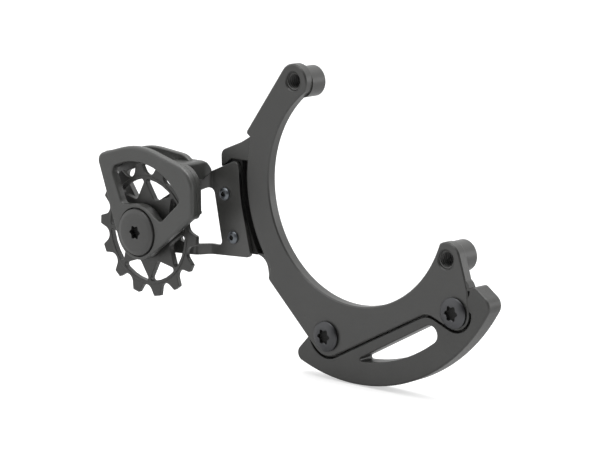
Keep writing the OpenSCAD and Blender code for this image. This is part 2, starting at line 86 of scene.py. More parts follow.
def round_chain(nodes, fine=3.0, coarse=12.0):
    """Points and outward unit normals of the line round a chain of circles (x, z, r) in millimetres.
    The line turns left round a circle with r above 0 and right round one with r below 0, and runs
    straight along their common tangents: a point is centre + r * (sin t, -cos t)."""
    circles = np.array(nodes, float)
    after = np.roll(circles, -1, axis=0)
    run = after[:, :2] - circles[:, :2]
    lean = np.arcsin((circles[:, 2] - after[:, 2]) / np.hypot(run[:, 0], run[:, 1]))
    heading = np.arctan2(run[:, 1], run[:, 0]) + lean
    points, normals = [], []
    for (x, z, r), t0, t1 in zip(circles, np.roll(heading, 1), heading):
        side = 1 if r >= 0 else -1
        turn = side * ((side * (t1 - t0) + 1e-4) % math.tau)
        count = max(1, math.ceil(abs(math.degrees(turn)) / (fine if abs(r) > 25 else coarse)))
        t = t0 + turn * np.linspace(0, 1, count + 1)
        out = np.stack([np.sin(t), -np.cos(t)], 1)
        points.append(np.array([x, z]) + r * out)
        normals.append(out)
    return np.concatenate(points), np.concatenate(normals)


def circle(x, z, r, count=64):
    """Points and outward normals of a circle: centre + r * (cos t, sin t)."""
    t = np.arange(count) * math.tau / count
    out = np.stack([np.cos(t), np.sin(t)], 1)
    return np.array([x, z]) + r * out, out


def hole(line):
    """The same line seen as the edge of a hole: it runs the other way and its normals point inwards."""
    return line[0][::-1], -line[1][::-1]


def at_wheel(line):
    """A line drawn about the wheel's axis, put in its place."""
    return line[0] + np.array(WHEEL), line[1]


def between(a, b, r, turn):
    """A corner circle of radius r that touches the two signed circles a and b, on the left (turn 1)
    or the right (turn -1) of the way from a to b: the third corner of the triangle whose sides are
    the distances between the three centres."""
    ra, rb = abs(a[2] - r) + TOUCH, abs(b[2] - r) + TOUCH
    dx, dz = b[0] - a[0], b[1] - a[1]
    d = math.hypot(dx, dz)
    along = (ra * ra - rb * rb + d * d) / (2 * d)
    aside = math.sqrt(max(ra * ra - along * along, 0)) * turn
    return (a[0] + (along * dx - aside * dz) / d, a[1] + (along * dz + aside * dx) / d, r)


def nested(big, r, degrees):
    """A corner circle of radius r that touches the inside of the circle big at that angle."""
    t = math.radians(degrees)
    return ((big - r + TOUCH) * math.cos(t), (big - r + TOUCH) * math.sin(t), r)


def across(node, seam):
    """The circle that faces a node's circle across a seam, for a line that turns the other way."""
    return (node[0], node[1], -node[2] - seam)


def tangent(a, b):
    """The start and the heading of the line that leaves circle a for circle b."""
    run = (b[0] - a[0], b[1] - a[1])
    heading = math.atan2(run[1], run[0]) + math.asin((a[2] - b[2]) / math.hypot(*run))
    return (a[0] + a[2] * math.sin(heading), a[1] - a[2] * math.cos(heading)), heading


def edge_corner(start, heading, centre, big, r, first):
    """A corner circle of radius r inside the straight line from start at that heading, outside the
    circle big about the centre: the near crossing where first is true, the far one otherwise."""
    along = np.array([math.cos(heading), math.sin(heading)])
    side = np.array([math.sin(heading), -math.cos(heading)])
    base = np.array(start) - r * side - np.array(centre)
    ahead = base @ along
    root = math.sqrt(ahead * ahead - base @ base + (big + r + LEAST_EDGE) ** 2)
    x, z = np.array(start) - r * side + (-ahead + (-root if first else root)) * along
    return (x, z, r)


def round_box(x0, z0, x1, z1, r):
    """The line round a box whose corners have the radius r."""
    return round_chain([(x1 - r, z1 - r, r), (x0 + r, z1 - r, r), (x0 + r, z0 + r, r), (x1 - r, z0 + r, r)])


def rim_piece(line, centre, r, a0, a1):
    """The part of a closed line's inside that lies between the angles a0 and a1 and outside the
    circle r about the centre: the line's points there, then the arc back, with two straight ends."""
    points, out = line
    angle = np.degrees(np.arctan2(points[:, 1] - centre[1], points[:, 0] - centre[0]))
    keep = (angle > a0) & (angle < a1) & (np.hypot(*(points - np.array(centre)).T) > r + 0.3)
    order = np.argsort(angle[keep], kind="stable")
    outer, outer_n = points[keep][order], out[keep][order]
    a0, a1 = angle[keep].min(), angle[keep].max()
    t = np.radians(np.linspace(a1, a0, 24))
    ray = np.stack([np.cos(t), np.sin(t)], 1)
    arc = np.array(centre) + r * ray
    near = np.array([math.sin(math.radians(a0)), -math.cos(math.radians(a0))])
    far = np.array([-math.sin(math.radians(a1)), math.cos(math.radians(a1))])
    return (np.concatenate([outer, outer[-1:], arc[:1], arc, arc[-1:], outer[:1]]),
            np.concatenate([outer_n, [far, far], -ray, [near, near]]))


def blend(points, low, high, start, end, centre=(0, 0)):
    """An edge radius for each point: low up to the distance start from the centre, high beyond end,
    and low + (high - low) * s * s * (3 - 2 * s) between them, where s runs from 0 to 1."""
    s = np.clip((np.hypot(*(points - np.array(centre)).T) - start) / (end - start), 0, 1)
    return low + (high - low) * s * s * (3 - 2 * s)


def slab(y0, y1, lines, front=0.4, back=0.4, steps=3, bevel=""):
    """A plate between y0 and y1 inside the first line and outside the others. Each edge is a quarter
    circle: at angle a the wall stands radius * (1 - sin a) inside the line, radius * (1 - cos a) from
    the face. front and back are one radius, or one for each line, or one for each of its points. An
    edge named in bevel ("front", "back" or both) is one straight slope with two narrow rounds."""
    fronts = front if isinstance(front, (list, tuple)) else [front] * len(lines)
    backs = back if isinstance(back, (list, tuple)) else [back] * len(lines)
    a = np.linspace(0, math.pi / 2, steps + 1)
    # Rows: how far in, how far from the face, how much the normal faces out of the slab, how much aside
    edge = np.stack([1 - np.sin(a), 1 - np.cos(a), np.cos(a), np.sin(a)])
    far = edge[:, ::-1]
    half = math.sqrt(0.5)
    slope = np.array([[1, 0.94, 0.06, 0], [0, 0.06, 0.94, 1], [1, half, half, 0], [0, half, half, 1]])
    if "front" in bevel:
        edge = slope
    if "back" in bevel:
        far = slope[:, ::-1]
    verts, normals, faces, rims, ends = [], [], [], [], []
    base = 0
    for (points, out), f, b in zip(lines, fronts, backs):
        f = np.maximum(np.broadcast_to(f, len(points)), LEAST_EDGE)
        b = np.maximum(np.broadcast_to(b, len(points)), LEAST_EDGE)
        inset = np.concatenate([np.outer(edge[0], f), np.outer(far[0], b)])
        y = np.concatenate([y0 + np.outer(edge[1], f), y1 - np.outer(far[1], b)])
        lean = np.concatenate([-edge[2], far[2]])
        aside = np.concatenate([edge[3], far[3]])
        wall = points[None] - inset[:, :, None] * out[None]
        grid = np.stack([wall[..., 0], y, wall[..., 1]], -1)
        tilt = np.stack([aside[:, None] * out[None, :, 0], np.broadcast_to(lean[:, None], y.shape),
                         aside[:, None] * out[None, :, 1]], -1)
        rows, count = y.shape
        index = base + np.arange(rows * count).reshape(rows, count)
        follow = np.roll(index, -1, axis=1)
        faces.append(np.stack([index[:-1], index[1:], follow[1:], follow[:-1]], -1).reshape(-1, 4))
        verts.append(grid.reshape(-1, 3))
        normals.append(tilt.reshape(-1, 3))
        rims.append(index[0])
        ends.append(index[-1])
        base += rows * count
    verts, normals = np.concatenate(verts), np.concatenate(normals)
    caps = []
    for loops, sign in ((rims, 1), (ends, -1)):
        flat_lines = [[Vector((verts[k, 0], verts[k, 2], 0)) for k in ring] for ring in loops]
        order = np.concatenate(loops)
        tri = order[np.array(tessellate_polygon(flat_lines))]
        p = verts[tri][:, :, [0, 2]]
        area = np.cross(p[:, 1] - p[:, 0], p[:, 2] - p[:, 0])
        tri[area * sign < 0] = tri[area * sign < 0][:, ::-1]
        caps.append(tri[np.abs(area) > 1e-9])
    return verts, [tuple(q) for q in np.concatenate(faces)] + [tuple(t) for cap in caps for t in cap], normals


def loft(levels):
    """A closed form through lines of equal counts at rising y. A normal is the cross product of the
    step to the next level and the step round the line, turned outwards; the ends are flat fans."""
    points = np.array([line[0] for _, line in levels])
    y = np.array([depth for depth, _ in levels])
    out = levels[0][1][1]
    rows, count = points.shape[:2]
    verts = np.stack([points[..., 0], np.broadcast_to(y[:, None], (rows, count)), points[..., 1]], -1)
    along = np.gradient(verts, axis=0)
    around = np.roll(verts, -1, 1) - np.roll(verts, 1, 1)
    normals = np.cross(along, around)
    if (normals[..., [0, 2]] * out).sum() < 0:
        normals = -normals
    normals /= np.maximum(np.linalg.norm(normals, axis=-1, keepdims=True), 1e-9)
    index = np.arange(rows * count).reshape(rows, count)
    follow = np.roll(index, -1, 1)
    faces = np.stack([index[:-1], index[1:], follow[1:], follow[:-1]], -1).reshape(-1, 4)
    ends = [tuple(index[0]), tuple(index[-1][::-1])]
    return verts.reshape(-1, 3), [tuple(q) for q in faces] + ends, normals.reshape(-1, 3)


def form_mesh(name, *forms):
    """One mesh of several closed forms, each with its own exact normals."""
    verts = np.concatenate([f[0] for f in forms]) * MM
    normals = np.concatenate([f[2] for f in forms])
    start = np.cumsum([0] + [len(f[0]) for f in forms])
    faces = [tuple(int(k) + int(s) for k in face) for f, s in zip(forms, start) for face in f[1]]
    mesh = bpy.data.meshes.new(name)
    mesh.from_pydata(verts.tolist(), [], faces)
    mesh.validate()
    mesh.polygons.foreach_set("use_smooth", np.ones(len(mesh.polygons), bool))
    if len(mesh.vertices) == len(normals):
        mesh.normals_split_custom_set_from_vertices(normals.tolist())
    return mesh


def place(name, mesh, material, body, *nodes, inner=None):
    """Puts a finished mesh in the scene with its material, its body and the nodes it stands for."""
    piece = bpy.data.objects.new(name, mesh)
    bpy.context.scene.collection.objects.link(piece)
    mesh.materials.append(material)
    if inner:
        mesh.materials.append(inner)
    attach(piece, body)
    if nodes:
        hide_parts(*nodes)
    return piece


def rounded_copy(node, material, width, segments=2, angle=30):
    """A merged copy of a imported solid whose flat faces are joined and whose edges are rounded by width."""
    mesh = frame["nodes"][node].data.copy()
    mesh.materials.clear()
    form = bmesh.new()
    form.from_mesh(mesh)
    bmesh.ops.remove_doubles(form, verts=form.verts, dist=0.03 * MM)
    bmesh.ops.dissolve_limit(form, angle_limit=math.radians(0.6), verts=form.verts, edges=form.edges)
    for face in form.faces:
        face.smooth = True
    form.to_mesh(mesh)
    form.free()
    piece = place(node + "_rounded", mesh, material, body_of[node], node)
    soften = piece.modifiers.new("edge", "BEVEL")
    soften.width = width * MM
    soften.segments = segments
    soften.limit_method = "ANGLE"
    soften.angle_limit = math.radians(angle)
    soften.use_clamp_overlap = False
    shading = piece.modifiers.new("shading", "WEIGHTED_NORMAL")
    shading.keep_sharp = True
    return piece


def noise_layer(tree, where, scale, detail):
    """A noise pattern on object coordinates, with scale in repeats a metre."""
    noise = tree.nodes.new("ShaderNodeTexNoise")
    noise.inputs["Scale"].default_value = scale
    noise.inputs["Detail"].default_value = detail
    noise.inputs["Roughness"].default_value = 0.6
    tree.links.new(where.outputs["Object"], noise.inputs["Vector"])
    return noise.outputs["Fac"]


def spread(tree, value, low, high):
    """Maps the middle of a pattern, 0.3..0.7, to low..high."""
    span = tree.nodes.new("ShaderNodeMapRange")
    span.inputs["From Min"].default_value = 0.3
    span.inputs["From Max"].default_value = 0.7
    span.inputs["To Min"].default_value = low
    span.inputs["To Max"].default_value = high
    tree.links.new(value, span.inputs["Value"])
    return span.outputs["Result"]


def finish_of(name, dark, light, gloss, grain, height, cloud=60, metallic=0.0, shine=0.5):
    """A finish whose colour drifts between two shades in that many clouds a metre, whose roughness
    varies round gloss, and whose surface carries a grain of that many dots a metre and that height
    in metres."""
    material = bpy.data.materials.new(name)
    material.use_nodes = True
    tree = material.node_tree
    shader = tree.nodes["Principled BSDF"]
    where = tree.nodes.new("ShaderNodeTexCoord")
    mix = tree.nodes.new("ShaderNodeMix")
    mix.data_type = "RGBA"
    mix.inputs["A"].default_value = (*dark, 1)
    mix.inputs["B"].default_value = (*light, 1)
    clouds = noise_layer(tree, where, cloud, 4)
    tree.links.new(spread(tree, clouds, 0, 1), mix.inputs["Factor"])
    tree.links.new(mix.outputs["Result"], shader.inputs["Base Color"])
    fine = noise_layer(tree, where, grain, 2)
    tree.links.new(spread(tree, fine, gloss - 0.05, gloss + 0.05), shader.inputs["Roughness"])
    bump = tree.nodes.new("ShaderNodeBump")
    bump.inputs["Strength"].default_value = 1
    bump.inputs["Distance"].default_value = height
    tree.links.new(fine, bump.inputs["Height"])
    tree.links.new(bump.outputs["Normal"], shader.inputs["Normal"])
    shader.inputs["Metallic"].default_value = metallic
    shader.inputs["Specular IOR Level"].default_value = shine
    return material


def mix_painted_shade(material, dark, factor):
    """Paints shade by mixing a dark grey into a finish's colour: all dark where factor is 0, none where it is
    1.
    """
    tree = material.node_tree
    colour = tree.nodes["Principled BSDF"].inputs["Base Color"]
    mix = tree.nodes.new("ShaderNodeMix")
    mix.data_type = "RGBA"
    mix.inputs["A"].default_value = (dark, dark, dark, 1)
    tree.links.new(factor, mix.inputs["Factor"])
    tree.links.new(colour.links[0].from_socket, mix.inputs["B"])
    tree.links.new(mix.outputs["Result"], colour)


def paint_groove_shade(material, shade_r, clear_r):
    """Paints shade beside the rim's groove: blackens a finish up to the first radius, in metres from the
    crank axis, and fades to its own colour at clear_r. The distance is the length of (x, 0, z)."""
    tree = material.node_tree
    flatten = tree.nodes.new("ShaderNodeVectorMath")
    flatten.operation = "MULTIPLY"
    flatten.inputs[1].default_value = (1, 0, 1)
    distance = tree.nodes.new("ShaderNodeVectorMath")
    distance.operation = "LENGTH"
    inside = tree.nodes.new("ShaderNodeMapRange")
    inside.inputs["From Min"].default_value = shade_r
    inside.inputs["From Max"].default_value = clear_r
    tree.links.new(tree.nodes["Texture Coordinate"].outputs["Object"], flatten.inputs[0])
    tree.links.new(flatten.outputs["Vector"], distance.inputs[0])
    tree.links.new(distance.outputs["Value"], inside.inputs["Value"])
    mix_painted_shade(material, 0.008, inside.outputs["Result"])


def paint_root_shade(material):
    """Paints shade into a thread's finish at its roots, by the attribute crest, which is 1 on the crests."""
    crest = material.node_tree.nodes.new("ShaderNodeAttribute")
    crest.attribute_name = "crest"
    mix_painted_shade(material, 0.006, crest.outputs["Fac"])


FINISH = {
    "plate_alloy": finish_of(
        "satin_black_plate", (0.034, 0.034, 0.032), (0.040, 0.040, 0.0375),
        gloss=0.34, grain=2600, height=2.5e-5, shine=0.9),
    # A near black that paints shade: it fills the groove beside the rim and the insides of the sockets
    "groove_black": finish_of(
        "painted_shade_black", (0.010, 0.010, 0.010), (0.014, 0.014, 0.013),
        gloss=0.7, grain=2600, height=2e-5),
    "thread_cut": finish_of(
        "cut_thread", (0.13, 0.13, 0.125), (0.17, 0.17, 0.165),
        gloss=0.35, grain=2600, height=1e-5),
    "skid_plastic": finish_of(
        "moulded_black_skid", (0.031, 0.031, 0.029), (0.038, 0.038, 0.0355),
        gloss=0.38, grain=1800, height=4e-5, shine=0.8),
    "bracket_steel": finish_of(
        "satin_black_bracket", (0.052, 0.052, 0.049), (0.060, 0.060, 0.0565),
        gloss=0.34, grain=2600, height=2.5e-5, shine=0.95),
    "guide_plastic": finish_of(
        "moulded_black_guide", (0.044, 0.045, 0.042), (0.052, 0.053, 0.0495),
        gloss=0.40, grain=1800, height=4e-5, shine=0.95),
    "wheel_plastic": finish_of(
        "moulded_black_wheel", (0.030, 0.030, 0.028), (0.037, 0.037, 0.0345),
        gloss=0.40, grain=1800, height=3e-5, shine=0.75),
    "pivot_alloy": finish_of(
        "anodised_black", (0.034, 0.034, 0.032), (0.040, 0.040, 0.038),
        gloss=0.34, grain=3000, height=1.5e-5, shine=0.9),
    "bolt_steel": finish_of(
        "blued_steel", (0.085, 0.086, 0.089), (0.11, 0.111, 0.116),
        gloss=0.34, grain=2200, height=1.5e-5, metallic=1.0),
    "screw_steel": finish_of(
        "plain_steel", (0.15, 0.165, 0.18), (0.22, 0.235, 0.255),
        gloss=0.36, grain=2200, height=1.5e-5, metallic=1.0),
    "nut_steel": finish_of(
        "nut_steel", (0.28, 0.29, 0.31), (0.36, 0.37, 0.39),
        gloss=0.32, grain=2200, height=1.5e-5, metallic=1.0),
    "insert_brass": finish_of(
        "brass", (0.62, 0.44, 0.19), (0.72, 0.53, 0.24),
        gloss=0.3, grain=2200, height=1.5e-5, metallic=1.0),
    "cap_alloy": finish_of(
        "turned_alloy", (0.46, 0.46, 0.48), (0.54, 0.54, 0.56),
        gloss=0.3, grain=2200, height=1.5e-5, metallic=1.0),
    "bearing_steel": finish_of(
        "ground_steel", (0.50, 0.50, 0.51), (0.58, 0.58, 0.59),
        gloss=0.25, grain=2200, height=1e-5, metallic=1.0),
    "ball_steel": finish_of(
        "polished_steel", (0.58, 0.58, 0.59), (0.62, 0.62, 0.63),
        gloss=0.12, grain=2200, height=2e-6, metallic=1.0),
    "cage_plastic": finish_of(
        "brown_cage", (0.30, 0.17, 0.075), (0.36, 0.21, 0.095),
        gloss=0.45, grain=1800, height=2e-5),
    "shield_rubber": finish_of(
        "shield_rubber", (0.028, 0.028, 0.029), (0.034, 0.034, 0.035),
        gloss=0.6, grain=1800, height=2e-5),
}
# Painted shade: the bracket's finish goes black next to the rim's groove, where the rim's wall shades it
paint_groove_shade(FINISH["bracket_steel"], 0.06735, 0.0676)
# Painted shade: the thread's finish darkens at its roots
paint_root_shade(FINISH["thread_cut"])


def thread_sleeve(x, z, y0, y1, r=THREAD_R, pitch=1.25, depth=0.8):
    """An inner thread: the radius is r less depth times a triangle wave of y / pitch less the turn,
    closed by a plain wall just outside r."""
    rows, count = int((y1 - y0) / pitch * 10) + 1, 60
    y, turn = np.meshgrid(np.linspace(y0, y1, rows), np.arange(count) / count, indexing="ij")
    wave = np.abs(((y / pitch - turn) % 1) * 2 - 1)
    radius = r - depth * np.clip(wave * 1.5 - 0.25, 0, 1)
    radius = np.concatenate([radius, np.full((2, count), r + 0.08)])
    y = np.concatenate([y, np.full((1, count), y1), np.full((1, count), y0)])
    turn = np.concatenate([turn, turn[:2]])
    verts = np.stack([x + radius * np.cos(turn * math.tau), y, z + radius * np.sin(turn * math.tau)], -1)
    index = np.arange(verts.shape[0] * count).reshape(-1, count)
    below, beside = np.roll(index, -1, 0), np.roll(index, -1, 1)
    both = np.roll(below, -1, 1)
    faces = np.stack([index, beside, both, below], -1).reshape(-1, 4)
    mesh = bpy.data.meshes.new("thread")
    mesh.from_pydata((verts.reshape(-1, 3) * MM).tolist(), [], faces.tolist())
    mesh.polygons.foreach_set("use_smooth", np.ones(len(mesh.polygons), bool))
    # crest is 1 on the crests and 0 at the roots; the thread's finish paints shade at the roots by it
    crest = mesh.attributes.new("crest", "FLOAT", "POINT")
    crest.data.foreach_set("value", ((r - radius) / depth).clip(0, 1).ravel())
    return mesh


def plate_form():
    """The C-shaped plate with its two bosses and the stepped tab that carries the bracket, and a near-black
    sheet over the bracket's seat that paints the shade in the groove beside the rim. Each form is a slab
    inside the line round a chain of circles."""
    lower_lobe = (LOWER_MOUNT[0] + 0.5, LOWER_MOUNT[1] + 0.7, 6.8)
    upper_lobe = (*UPPER_MOUNT, 7.6)
    bore = (0, 0, -BORE_R)
    plate = round_chain([
        upper_lobe, (-60.3, 19.4, 1.3), (-60.5, 16.8, -1), (0, 0, RIM_R), (-49, -39, -1), (-47, -43.3, 2),
        REAR_EAR, VALLEY, FRONT_EAR, NECK, lower_lobe,
        between(lower_lobe, bore, 0.8, -1), bore, between(bore, upper_lobe, 0.8, -1)])
    top = [(-52.6, 20, 2), (-68.9, 19.4, -5.6), (-75.1, 7.16, 3.4)]
    side = [(-75.1, 7.16, 3.4), (-71.5, -32.3, 3)]
    low = [(-58.6, -41.5, -6.6), (-49.9, -44.2, 1.6)]
    tab = round_chain([*top, side[1], *low, (0, 0, -53)])
    seat = round_chain([*side, (-58.45, -34.4, 0.6), (0, 0, -67.2), (-67.35, 8, 0.6)])
    foot = round_chain([(-59.5, -34.6, 0.3), *low, (-48.5, -35.1, 1)])
    inner = round_chain([
        (-60.2, 9, 0.5), (0, 0, 61.3), (-50.5, -34, 0.5), (-42.4, -34, 0.5), (0, 0, -53), (-53.4, 9, 0.5)])
    flange = round_chain([*top, (-78, 2.75, 0.4), (-72.5, 5.8, -0.5), (-55.5, 6.9, 0.5)])
    mounts = [hole(circle(*m, THREAD_R)) for m in (UPPER_MOUNT, LOWER_MOUNT)]
    bolts = [hole(circle(*b, BOLT_HOLE_R)) for b in (REAR_BOLT, FRONT_BOLT)]
    screws = [hole(circle(*s, SCREW_HOLE_R, 32)) for s in (UPPER_SCREW, LOWER_SCREW)]
    forms = [slab(0, PLATE_BACK, [plate, *mounts, *bolts],
                  front=[0.6, 0.5, 0.5, 0.2, 0.2], back=[0.45, 0, 0, 0.2, 0.2], bevel="front")]
    for mount, shift, line in ((UPPER_MOUNT, (1.3, -0.6), mounts[0]), (LOWER_MOUNT, (0.3, 0.3), mounts[1])):
        boss = circle(mount[0] + shift[0], mount[1] + shift[1], 6.7, 96)
        forms.append(slab(4.0, BOSS_BACK, [boss, line], front=0, back=[1.7, 0.3], bevel="back"))
    lap = 0.2
    forms += [slab(GROOVE_FLOOR, TAB_BACK, [tab, *screws], front=0, back=[0.7, 0.2, 0.2]),
              slab(SEAT_FLOOR, GROOVE_FLOOR + lap, [foot], front=0.3, back=0),
              slab(4.4, GROOVE_FLOOR + lap, [inner], front=0, back=0),
              slab(FLANGE_FRONT, GROOVE_FLOOR + lap, [flange], front=0.5, back=0)]
    # A near-black sheet in the groove beside the rim: painted shade where the rim's wall shades the seat
    shade_sheet = slab(SEAT_FLOOR, GROOVE_FLOOR + 0.15, [seat, *screws], front=[0.1, 0.1, 0.1], back=0)
    return form_mesh("backplate_form", *forms), form_mesh("groove_shade_sheet", shade_sheet)


def skid_form(seam=0.9):
    """The skid in two layers: the full outline behind the plate, and in the plate's plane the part
    outside it, whose upper edge follows the plate at the width of the seam."""
    rear_end, front_end = nested(SKID_R, 3.6, -111.1), nested(SKID_R, 4.9, -30.3)
    top, under = (64.3, -33.6, 2), (*REAR_BOLT, 6.5)
    slot = hole(round_chain([nested(SLOT_R, 0.9, -86.6), (0, 0, SLOT_R), nested(SLOT_R, 3.9, -53)]))
    whole = round_chain([rear_end, (0, 0, SKID_R), front_end, top, under])
    left = edge_corner(*tangent(under, rear_end), REAR_BOLT, REAR_EAR[2] + seam, 0.5, False)
    right = edge_corner(*tangent(top, under), NECK[:2], NECK[2] + seam, 0.5, True)
    face = round_chain([
        rear_end, (0, 0, SKID_R), front_end, top, right,
        across(NECK, seam), across(FRONT_EAR, seam), across(VALLEY, seam), across(REAR_EAR, seam), left])
    inserts = [hole(circle(*bolt, 5.2)) for bolt in (REAR_BOLT, FRONT_BOLT)]
    return form_mesh(
        "bash_skid_form",
        slab(SKID_FRONT, PLATE_BACK, [face, slot], front=[blend(face[0], 0.45, 0.9, 74, 80), 0.5], back=0),
        slab(PLATE_BACK, SKID_BACK, [whole, slot, *inserts], front=0, back=[0.9, 0.5, 0.2, 0.2]))


def outer_guide_form():
    """The guide's front plate with its window and recess, the boss, the pad and the wall beside the
    wheel, the bridge at the left, and the block with its foot that reaches the bracket."""
    edge = at_wheel(round_chain([
        (0, 0, 12.5), (31, 12.2, 3.2), (23, 22, 11.1), (0, 0, 38.4), (-20.6, 29.9, 3.9)], coarse=6))
    window = hole(at_wheel(round_chain([
        (0, 0, -12.5), (14, 8.9, 2.4), (23.2, 17.4, 2.6), (0, 0, 31.6), (-12, 26, 3),
        (-7.2, 14.8, 3)], coarse=6)))
    recess = hole(circle(*WHEEL, 11.05, 96))
    shank = hole(circle(*WHEEL, PIVOT_HOLE_R, 48))
    block = at_wheel(round_chain([
        (24.7, 31.5, 1.6), (14.8, 32.3, 0.8), (23.95, 24.92, 0.4), (25.2, 25.6, 1.1)]))
    pad = at_wheel(round_chain([(20.97, 10.58, 1), (31, 12.2, 3.1), (31.3, 20, 2), (23.2, 17.4, -2.62)]))
    wall = rim_piece(edge, WHEEL, 31.2, 18.5, 52)
    bridge = rim_piece((edge[0] + 0.35 * edge[1], edge[1]), WHEEL, 33.8, 109.7, 143.7)
    # A level of the foot is its y, then its box: low x and z, high x and z, and the corner radius
    foot = [(-4, 20.5, 24.6, 26.32, 33.12, 1.6), (-2.4, 20.8, 24.6, 26.34, 33.12, 1.6),
            (-1.2, 21.6, 25, 26.6, 33.0, 1.5), (-0.2, 23, 26, 27.2, 32.3, 1.2),
            (0.6, 24.8, 27.2, 27.7, 30.8, 0.8), (1.1, 26.2, 27.9, 28, 29.4, 0.4)]
    edge_round = blend(edge[0], 0.55, 1.5, 14, 22, WHEEL)
    window_round = blend(window[0], 0.4, 0.9, 13, 17, WHEEL)
    lap = GUIDE_BACK - 0.1
    return form_mesh(
        "outer_guide_form",
        slab(GUIDE_FACE, GUIDE_BACK, [edge, window, recess], steps=5,
             front=[edge_round, window_round, 0.25], back=[0.4, 0.3, 0]),
        slab(RECESS_FLOOR, -13.1, [circle(*WHEEL, 12.45, 96), shank], front=0, back=[0.4, 0]),
        slab(lap, -12.4, [pad], front=0, back=0.3),
        slab(lap, -11.2, [wall], front=0, back=1.3, steps=5),
        slab(-14.9, INNER_FACE, [bridge], front=0.3, back=0.2),
        slab(-15.2, -1.4, [block], front=0, back=0.1),
        loft([(y, at_wheel(round_box(*box))) for y, *box in foot]))


def inner_guide_form():
    """The plate behind the wheel, with its window and the pivot's hole."""
    edge = at_wheel(round_chain([
        (0, 0, 11.3), (21.2, 13.4, 3), (15.2, 27.1, 8.8), (0, 0, 37.3), (-21.5, 28.2, 4)]))
    window = hole(at_wheel(round_chain([
        (0, 0, -10.6), (12.6, 8.9, 2.4), (17, 15.8, 2.6), (13, 23.8, 3), (0, 0, 28.8), (-15.4, 22.3, 2.6),
        (-9.6, 14.8, 3)])))
    shank = hole(circle(*WHEEL, PIVOT_HOLE_R, 48))
    rounds = [0.7, 0.4, 0.1]
    return form_mesh(
        "inner_guide_form", slab(INNER_FACE, INNER_BACK, [edge, window, shank], front=rounds, back=rounds))


def turned(nodes, degrees):
    """Circles about the wheel's axis, turned by that angle and put in their place."""
    c, s = math.cos(math.radians(degrees)), math.sin(math.radians(degrees))
    return [(WHEEL[0] + c * x - s * z, WHEEL[1] + s * x + c * z, r) for x, z, r in nodes]


def wheel_form(teeth=14, pitch_r=28.54, tip_r=29.9, first_tooth=177.6, holes=8, first_hole=25.5):
    """The toothed disc, its thicker web with rounded three-cornered holes, and its hub. The rim is a
    chain of circles: two corners for a tooth's tip, then the seat of a roller on the pitch circle."""
    tip = [(tip_r - 0.6, -1.5, 0.6), (tip_r - 0.6, 1.5, 0.6)]
    seat = [(pitch_r, 0, -3.5)]
    step = 360 / teeth
    rim = []
    for k in range(teeth):
        rim += turned(tip, first_tooth + k * step)
        rim += turned(seat, first_tooth + (k + 0.5) * step)
    corner = [(16.8, 0, 1.8), nested(23, 1.2, -17), (0, 0, 23), nested(23, 1.2, 17)]
    cuts = [hole(round_chain(turned(corner, first_hole + 360 // holes * k))) for k in range(holes)]
    return form_mesh(
        "wheel_form",
        slab(-11.1, -8.9, [round_chain(rim), hole(circle(*WHEEL, 23.5, 96))], front=[0.3, 0], back=[0.3, 0]),
        slab(-11.5, -8.5, [circle(*WHEEL, 24.4, 120), *cuts, hole(circle(*WHEEL, 9))], front=0.4, back=0.4),
        slab(-12.5, -7.5, [circle(*WHEEL, 11.2, 96), hole(circle(*WHEEL, 8.0))], front=0.3, back=0.3))


def turned_head(name, x, z, profile, socket, floor_y, lobe=0.13, lobes=6, count=96):
    """A head turned about its axis: the profile's points (radius, y) from its foot to the socket's
    edge, then the socket's wall, whose radius is socket * (1 - lobe + lobe * cos(lobes * angle)), down
    to a shallow cone at floor_y. A closed foot ends the form inside what carries it."""
    a = np.arange(count) * math.tau / count
    wall = socket * (1 - lobe + lobe * np.cos(lobes * a))
    r, y = np.array(profile, float).T
    mouth, lip = y[-1], 0.12
    radii = np.array([np.zeros(count), *[np.full(count, q) for q in r],
                      wall + lip, wall, wall, wall * 0.7, np.zeros(count)])
    depth = np.array([y[0], *y, mouth, mouth + lip, floor_y - 0.2, floor_y, floor_y + 0.25])
    verts = np.stack([x + radii * np.cos(a), np.broadcast_to(depth[:, None], radii.shape),
                      z + radii * np.sin(a)], -1)
    rows = len(radii)
    index = np.arange(rows * count).reshape(rows, count)
    follow = np.roll(index, -1, 1)
    faces = np.stack([index[:-1], follow[:-1], follow[1:], index[1:]], -1).reshape(-1, 4)
    mesh = bpy.data.meshes.new(name)
    mesh.from_pydata((verts.reshape(-1, 3) * MM).tolist(), [], faces.tolist())
    form = bmesh.new()
    form.from_mesh(mesh)
    bmesh.ops.remove_doubles(form, verts=form.verts, dist=1e-6)
    bmesh.ops.recalc_face_normals(form, faces=form.faces)
    for edge in form.edges:
        edge.smooth = len(edge.link_faces) < 2 or edge.calc_face_angle(0) < math.radians(35)
    for face in form.faces:
        face.smooth = True
        # Faces inside the socket take the second material, a near black that paints the socket's shade
        mid = face.calc_center_median() / MM
        within = math.hypot(mid.x - x, mid.z - z) < socket * 0.995
        face.material_index = int(within and mouth + 0.1 < mid.y < floor_y + 0.3)
    form.to_mesh(mesh)
    form.free()
    return mesh


plate_mesh, shade_sheet_mesh = plate_form()
place("backplate_form", plate_mesh, FINISH["plate_alloy"], "guard", "backplate")
# The near-black sheet of painted shade in the groove
place("groove_shade_sheet", shade_sheet_mesh, FINISH["groove_black"], "guard")
place("wheel_form", wheel_form(), FINISH["wheel_plastic"], "wheel", "idler_wheel")
place("bash_skid_form", skid_form(), FINISH["skid_plastic"], "guard", "bash_skid")
place("outer_guide_form", outer_guide_form(), FINISH["guide_plastic"], "guard", "outer_guide")
place("inner_guide_form", inner_guide_form(), FINISH["guide_plastic"], "guard", "inner_guide")
for name, mount in (("upper", UPPER_MOUNT), ("lower", LOWER_MOUNT)):
    place(name + "_thread", thread_sleeve(*mount, 0.7, 13.2), FINISH["thread_cut"], "guard")

